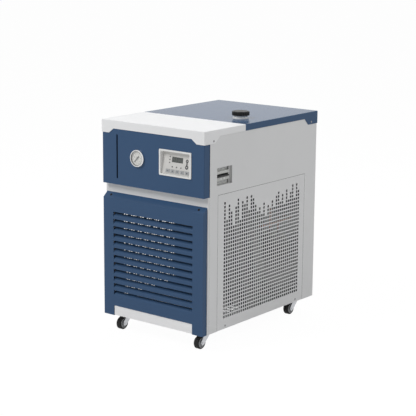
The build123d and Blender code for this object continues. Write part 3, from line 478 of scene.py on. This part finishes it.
family_finishes = {
    "key_": key_plastic,
    "castor_fork": zinc,
    "castor_rim": rim_plastic,
    "castor_tyre": tyre_rubber,
}


def dress_nodes():
    """Give every carried-over node its finish; sheet sides not listed are pale grey."""
    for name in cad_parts:
        finish = node_finishes.get(name, grey_paint)
        for start, family_finish in family_finishes.items():
            if name.startswith(start):
                finish = family_finish
        mesh = bpy.data.objects[name].data
        mesh.materials.clear()
        mesh.materials.append(finish)


# Helpers for new pieces
def linked(name, data):
    """An object at the origin, in the scene."""
    thing = bpy.data.objects.new(name, data)
    bpy.context.scene.collection.objects.link(thing)
    return thing


def meshed(name, shape):
    """A mesh from a bmesh, which is used up."""
    mesh = bpy.data.meshes.new(name)
    shape.to_mesh(mesh)
    shape.free()
    return mesh


def finished(name, shape, material, body, smooth=False):
    """Turn a bmesh into an object at the origin that rides on a body."""
    bmesh.ops.recalc_face_normals(shape, faces=shape.faces)
    mesh = meshed(name, shape)
    mesh.materials.append(material)
    for polygon in mesh.polygons:
        polygon.use_smooth = smooth
    thing = linked(name, mesh)
    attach(thing, body)
    return thing


def add_block(shape, size, at, chamfer):
    """A bevelled block of a size, set by a matrix."""
    made = bmesh.ops.create_cube(shape, size=1, matrix=at @ Matrix.Diagonal((*size, 1)))
    edges = {edge for vertex in made["verts"] for edge in vertex.link_edges}
    bmesh.ops.bevel(shape, geom=list(edges), offset=chamfer, affect="EDGES", segments=1,
                    profile=0.5, material=-1)


def add_disc(shape, radius, thickness, at, sides=32):
    """A flat disc, a little narrower at its top, with its axis along the matrix's z."""
    bmesh.ops.create_cone(shape, cap_ends=True, segments=sides, radius1=radius,
                          radius2=radius * 0.92, depth=thickness, matrix=at)


def add_prism(shape, corners, thickness, at):
    """A flat sign with straight sides, from its corners."""
    points = [shape.verts.new(at @ Vector((x, y, 0))) for x, y in corners]
    made = shape.faces.new(points)
    grown = bmesh.ops.extrude_face_region(shape, geom=[made])
    top = [item for item in grown["geom"] if isinstance(item, bmesh.types.BMVert)]
    bmesh.ops.translate(shape, verts=top, vec=at.to_3x3() @ Vector((0, 0, thickness)))


def facing(normal):
    """The turn that carries z to a direction."""
    return Vector(normal).to_track_quat("Z", "Y").to_matrix().to_4x4()


# Perforated side vents
def line_places(low, high, first, pitch, count, gap):
    """Lattice lines across a sheet: its two edges and both edges of every hole."""
    lines = [low]
    for index in range(count):
        middle = first + index * pitch
        lines.append(middle - gap / 2)
        lines.append(middle + gap / 2)
    lines.append(high)
    return lines


def vent_panel(side, sign):
    """A sheet with columns of small square holes whose tops form an uneven skyline."""
    node = f"{side}_vent_panel"
    low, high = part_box(node)
    rows = max(skyline) + 1
    columns = len(skyline)
    inset = vent_shadow_gap
    lines_y = line_places(low[1] + inset, high[1] - inset, at_depth(first_hole_depth),
                          hole_column_pitch, columns, hole_width)
    lines_z = line_places(low[2] + inset, high[2] - inset, first_hole_z,
                          hole_row_pitch, rows, hole_height)
    steps_y = len(lines_y) - 1
    steps_z = len(lines_z) - 1
    shape = bmesh.new()
    bmesh.ops.create_grid(shape, x_segments=steps_y, y_segments=steps_z, size=0.5)
    cells = {}
    for face in shape.faces:
        middle = face.calc_center_median()
        cells[face] = (int((middle.x + 0.5) * steps_y), int((middle.y + 0.5) * steps_z))
    holes = []
    for face, (across, up) in cells.items():
        column, in_column = divmod(across - 1, 2)
        row, in_row = divmod(up - 1, 2)
        if in_column == 0 and in_row == 0 and 0 <= column < columns and row <= skyline[column]:
            holes.append(face)
    for vertex in shape.verts:
        across = round((vertex.co.x + 0.5) * steps_y)
        up = round((vertex.co.y + 0.5) * steps_z)
        vertex.co = (sign * side_outer, lines_y[across], lines_z[up])
    bmesh.ops.delete(shape, geom=holes, context="FACES")
    bmesh.ops.recalc_face_normals(shape, faces=shape.faces)
    mesh = meshed(f"{side}_fine_vent", shape)
    mesh.materials.append(grey_paint)
    sheet = linked(f"{side}_fine_vent", mesh)
    thickness = sheet.modifiers.new("thickness", "SOLIDIFY")
    thickness.thickness = high[0] - low[0]
    thickness.offset = -1
    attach(sheet, "cabinet")
    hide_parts(node)


# Screws
def add_screw_head(shape, at, normal, radius, height):
    """A domed head with a cross recess, from a grid that is drawn into a round."""
    cells = 8
    cross_half_width = 0.25
    cross_reach = 0.75
    cross_depth = 0.55
    dome_drop = 0.45
    made = bmesh.ops.create_grid(shape, x_segments=cells, y_segments=cells, size=1)
    points = made["verts"]
    faces = {face for vertex in points for face in vertex.link_faces}
    recess = []
    for face in faces:
        middle = face.calc_center_median()
        narrow = min(abs(middle.x), abs(middle.y))
        long = max(abs(middle.x), abs(middle.y))
        if narrow < cross_half_width and long < cross_reach:
            recess.append(face)
    rim = list({edge for face in faces for edge in face.edges if edge.is_boundary})
    for vertex in points:
        x, y = vertex.co.x, vertex.co.y
        round_x = x * math.sqrt(1 - y * y / 2)
        round_y = y * math.sqrt(1 - x * x / 2)
        dome = 1 - dome_drop * (round_x ** 2 + round_y ** 2)
        vertex.co = (round_x * radius, round_y * radius, dome * height)
    skirt = bmesh.ops.extrude_edge_only(shape, edges=rim)
    lower = [item for item in skirt["geom"] if isinstance(item, bmesh.types.BMVert)]
    for vertex in lower:
        vertex.co.z = 0
    sunk = bmesh.ops.extrude_face_region(shape, geom=recess)
    bottom = [item for item in sunk["geom"] if isinstance(item, bmesh.types.BMVert)]
    bmesh.ops.delete(shape, geom=recess, context="FACES_ONLY")
    bmesh.ops.translate(shape, verts=bottom, vec=(0, 0, -cross_depth * height))
    bmesh.ops.transform(shape, matrix=Matrix.Translation(at) @ facing(normal),
                        verts=points + lower + bottom)


def panel_screws():
    """Screw heads of the covers, the sides, the rear and the lower front panel."""
    shape = bmesh.new()
    for sign in (-1, 1):
        spots = []
        for depth in cover_screw_depths:
            spots.append(((sign * cover_screw_x, at_depth(depth), cover_screw_z), (sign, 0, 0)))
        for depth in side_screw_depths:
            spots.append(((sign * side_outer, at_depth(depth), side_screw_z), (sign, 0, 0)))
        for height in rear_screw_heights:
            spots.append(((sign * rear_screw_x, at_depth(rear_screw_depth), height), (0, 1, 0)))
        for spot, normal in spots:
            add_screw_head(shape, Vector(spot), normal, pan_radius, pan_height)
        spot = (sign * bevel_screw_x, at_depth(bevel_screw_depth), bevel_screw_z)
        add_screw_head(shape, Vector(spot), bevel_normal, 4 * mm, 1.6 * mm)
    heads = finished("screw_heads", shape, screw_steel, "cabinet", True)
    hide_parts("panel_screws")


# Gauge dial
def on_dial(angle, radius):
    """An upright spot on the dial, at an angle in degrees and a distance from its centre."""
    turn = math.radians(angle)
    spot = (gauge_x + radius * math.cos(turn), at_depth(dial_depth), gauge_z + radius * math.sin(turn))
    return Matrix.Translation(spot) @ Matrix.Rotation(math.radians(90), 4, "X")


def gauge_marks():
    """Scale lines and numbers printed on the dial."""
    shape = bmesh.new()
    divisions = 50
    for index in range(divisions + 1):
        angle = scale_start - scale_sweep * index / divisions
        major = index % 10 == 0
        length = 3.6 * mm if major else 1.8 * mm
        width = 0.55 * mm if major else 0.28 * mm
        outwards = Matrix.Rotation(math.radians(angle - 90), 4, "Z")
        place = on_dial(angle, dial_radius - 2.4 * mm - length / 2) @ outwards
        add_block(shape, (width, length, 0.12 * mm), place, 0.02 * mm)
    numerals = 6
    for number in range(numerals):
        words = bpy.data.curves.new("numeral", "FONT")
        words.body = str(number * 2)
        words.size = 5 * mm
        words.align_x = "CENTER"
        words.align_y = "CENTER"
        words.extrude = 0.05 * mm
        holder = bpy.data.objects.new("numeral", words)
        cut = bpy.data.meshes.new_from_object(holder)
        angle = scale_start - scale_sweep * number / (numerals - 1)
        cut.transform(on_dial(angle, dial_radius - 10 * mm))
        shape.from_mesh(cut)
        bpy.data.objects.remove(holder)
        bpy.data.meshes.remove(cut)
    finished("gauge_marks", shape, mark_ink, "cabinet")


# Controller face
def on_face(x, up, lift=0.0):
    """A spot on the leaning face, with z along its outward normal."""
    lean = Matrix.Rotation(math.radians(90) - face_tilt, 4, "X")
    middle = Matrix.Translation((face_x, at_depth(face_depth), face_z))
    return middle @ lean @ Matrix.Translation((x, up, lift))


def display_digits():
    """Seven-segment digits that show faintly in the window."""
    shape = bmesh.new()
    digit_pitch = 9.6 * mm
    arm = 4.2 * mm
    bar = 0.9 * mm
    lift = -0.35 * mm
    flat_size = (arm, bar, 0.15 * mm)
    upright_size = (bar, arm + 0.6 * mm, 0.15 * mm)
    segments = [(0, up, flat_size) for up in (2, 0, -2)]
    segments += [(x, up, upright_size) for up in (1, -1) for x in (-1, 1)]
    for digit in range(4):
        centre = display_x + (digit - 1.5) * digit_pitch
        for x, up, size in segments:
            place = on_face(centre + x * 2.5 * mm, display_up + up * 2.6 * mm, lift)
            add_block(shape, size, place, 0.05 * mm)
    finished("display_digits", shape, segment_ink, "cabinet")


def face_marks():
    """Lamps and the thermometer sign on the controller's face."""
    lamps = bmesh.new()
    for up, x in zip(lamp_column_ups, lamp_row_xs):
        add_disc(lamps, 1.9 * mm, 0.8 * mm, on_face(lamp_column_x, up, 0.3 * mm), 24)
        add_disc(lamps, 2.1 * mm, 0.8 * mm, on_face(x, lamp_row_up, 0.3 * mm), 24)
    finished("face_lamps", lamps, mark_ink, "cabinet", True)
    sign = bmesh.new()
    stem = (4.6 * mm, 18 * mm, 0.24 * mm)
    add_disc(sign, 6.2 * mm, 0.24 * mm, on_face(sign_x, sign_bulb_up, 0.05 * mm))
    add_disc(sign, 5.2 * mm, 0.24 * mm, on_face(sign_x, sign_head_up, 0.05 * mm))
    add_block(sign, stem, on_face(sign_x, (sign_bulb_up + sign_head_up) / 2, 0.04 * mm), 0.05 * mm)
    finished("thermometer_sign", sign, mark_ink, "cabinet")
    column = bmesh.new()
    add_disc(column, 2.3 * mm, 0.3 * mm, on_face(sign_x, sign_bulb_up, 0.12 * mm))
    add_disc(column, 1.8 * mm, 0.3 * mm, on_face(sign_x, sign_head_up, 0.12 * mm))
    finished("thermometer_column", column, face_plastic, "cabinet")


def key_marks():
    """A raised sign on every key, which moves with it."""
    size = 2.6 * mm
    signs = [
        [(-1.2, -0.3), (1.2, -0.3), (1.2, 0.3), (-1.2, 0.3)],
        [(-0.9, 0), (0.7, -1), (0.7, 1)],
        [(-1, 0.7), (0, -0.9), (1, 0.7)],
        [(-1, -0.7), (1, -0.7), (0, 0.9)],
        [(-0.8, -0.8), (0.8, -0.8), (0.8, 0.8), (-0.8, 0.8)],
    ]
    for index, corners in enumerate(signs):
        shape = bmesh.new()
        place = on_face(first_key_x + index * key_pitch, key_row, key_face - 0.05 * mm)
        add_prism(shape, [(x * size, up * size) for x, up in corners], 0.2 * mm, place)
        finished(f"key_mark_{index + 1}", shape, mark_ink, f"key_{index + 1}")


# Breaker
def breaker_details():
    """White marks below the toggle, terminal screws and the lines between the modules."""
    outward = facing((1, 0, 0))
    module = (breaker_end_depth - breaker_start_depth) / breaker_modules
    middles = [breaker_start_depth + module * (index + 0.5) for index in range(breaker_modules)]
    terminal_x = breaker_x - terminal_sink
    marks = bmesh.new()
    for depth in middles[1:3]:
        spot = (breaker_x, at_depth(depth), breaker_z - 9 * mm)
        size = (5.4 * mm, 6 * mm, 0.8 * mm)
        add_block(marks, size, Matrix.Translation(spot) @ outward, 0.2 * mm)
    finished("breaker_marks", marks, white_plastic, "cabinet")
    screws = bmesh.new()
    for depth in middles:
        for up in terminal_rows:
            spot = Vector((terminal_x, at_depth(depth), breaker_z + up))
            add_screw_head(screws, spot, (1, 0, 0), 2.6 * mm, 0.9 * mm)
    finished("terminal_screws", screws, zinc, "cabinet", True)
    lines = bmesh.new()
    for depth in middles[:-1]:
        for up in terminal_rows:
            spot = (terminal_x, at_depth(depth + module / 2), breaker_z + up)
            size = (11 * mm, 0.6 * mm, 0.3 * mm)
            add_block(lines, size, Matrix.Translation(spot) @ outward, 0.05 * mm)
    finished("module_lines", lines, mark_ink, "cabinet")


# Floor, lamps and camera
def seen_directly(tree):
    """1 for rays of the camera, of mirrors and of clear things, 0 for rays that carry light."""
    path = tree.nodes.new("ShaderNodeLightPath")
    seen = path.outputs["Is Camera Ray"]
    for name in ("Is Glossy Ray", "Is Transmission Ray"):
        either = tree.nodes.new("ShaderNodeMath")
        either.operation = "MAXIMUM"
        tree.links.new(seen, either.inputs[0])
        tree.links.new(path.outputs[name], either.inputs[1])
        seen = either.outputs[0]
    return seen


def white_world():
    """White where it is seen, and a softer level where it lights the object."""
    world = bpy.data.worlds.new("studio")
    world.use_nodes = True
    bpy.context.scene.world = world
    tree = world.node_tree
    tree.nodes.clear()
    level = tree.nodes.new("ShaderNodeMapRange")
    level.inputs["To Min"].default_value = ambient_level
    level.inputs["To Max"].default_value = 1.0
    tree.links.new(seen_directly(tree), level.inputs["Value"])
    sky = tree.nodes.new("ShaderNodeBackground")
    sky.inputs["Color"].default_value = (1, 1, 1, 1)
    tree.links.new(level.outputs["Result"], sky.inputs["Strength"])
    output = tree.nodes.new("ShaderNodeOutputWorld")
    tree.links.new(sky.outputs["Background"], output.inputs["Surface"])


def floor():
    """A pale plain floor that looks nearly white and keeps a faint shadow."""
    shape = bmesh.new()
    bmesh.ops.create_grid(shape, x_segments=1, y_segments=1, size=floor_half_width)
    mesh = meshed("floor", shape)
    plane = linked("floor", mesh)
    material = bpy.data.materials.new("floor")
    material.use_nodes = True
    tree = material.node_tree
    shader = tree.nodes["Principled BSDF"]
    shader.inputs["Base Color"].default_value = (0.82, 0.82, 0.82, 1)
    shader.inputs["Roughness"].default_value = 0.9
    shader.inputs["Specular IOR Level"].default_value = 0.0
    glow = tree.nodes.new("ShaderNodeEmission")
    glow.inputs["Strength"].default_value = floor_glow
    share = tree.nodes.new("ShaderNodeMath")
    share.operation = "MULTIPLY"
    share.inputs[1].default_value = floor_glow_share
    tree.links.new(seen_directly(tree), share.inputs[0])
    blend = tree.nodes.new("ShaderNodeMixShader")
    tree.links.new(share.outputs[0], blend.inputs["Fac"])
    tree.links.new(shader.outputs["BSDF"], blend.inputs[1])
    tree.links.new(glow.outputs["Emission"], blend.inputs[2])
    tree.links.new(blend.outputs["Shader"], tree.nodes["Material Output"].inputs["Surface"])
    mesh.materials.append(material)


def soft_lamp(name, place, aim, size, power):
    """A square lamp at a place, turned to its aim."""
    lamp = bpy.data.lights.new(name, "AREA")
    lamp.size = size
    lamp.energy = power
    holder = linked(name, lamp)
    holder.location = place
    holder.rotation_euler = (Vector(aim) - Vector(place)).to_track_quat("-Z", "Y").to_euler()


def camera():
    """The photograph's viewpoint."""
    lens = bpy.data.cameras.new("camera")
    lens.sensor_width = sensor_width
    lens.lens = focal_pixels * sensor_width / image_pixels
    eye = linked("camera", lens)
    flat = math.cos(camera_height_angle)
    rise = math.sin(camera_height_angle)
    back = Vector((math.sin(camera_turn) * flat, -math.cos(camera_turn) * flat, rise))
    right = Vector((math.cos(camera_turn), math.sin(camera_turn), 0))
    up = back.cross(right)
    rolled_right = math.cos(camera_roll) * right + math.sin(camera_roll) * up
    rolled_up = math.cos(camera_roll) * up - math.sin(camera_roll) * right
    turn = Matrix((rolled_right, rolled_up, back)).transposed().to_4x4()
    eye.matrix_world = Matrix.Translation((camera_x, front - camera_before_front, camera_z)) @ turn
    bpy.context.scene.camera = eye


dress_nodes()
vent_panel("right", 1)
vent_panel("left", -1)
panel_screws()
gauge_marks()
display_digits()
face_marks()
key_marks()
breaker_details()
white_world()
floor()
soft_lamp("key_lamp", (-1.5, -3.1, 3.7), (0, -0.1, 0.4), 1.8, 100)
soft_lamp("top_lamp", (-0.6, 1.2, 4.2), (0, 0, 0.6), 1.8, 30)
soft_lamp("side_lamp", (2.6, 0.9, 3.2), (0.2, 0, 0.4), 1.8, 34)
camera()
bpy.context.scene.view_settings.view_transform = "Standard"
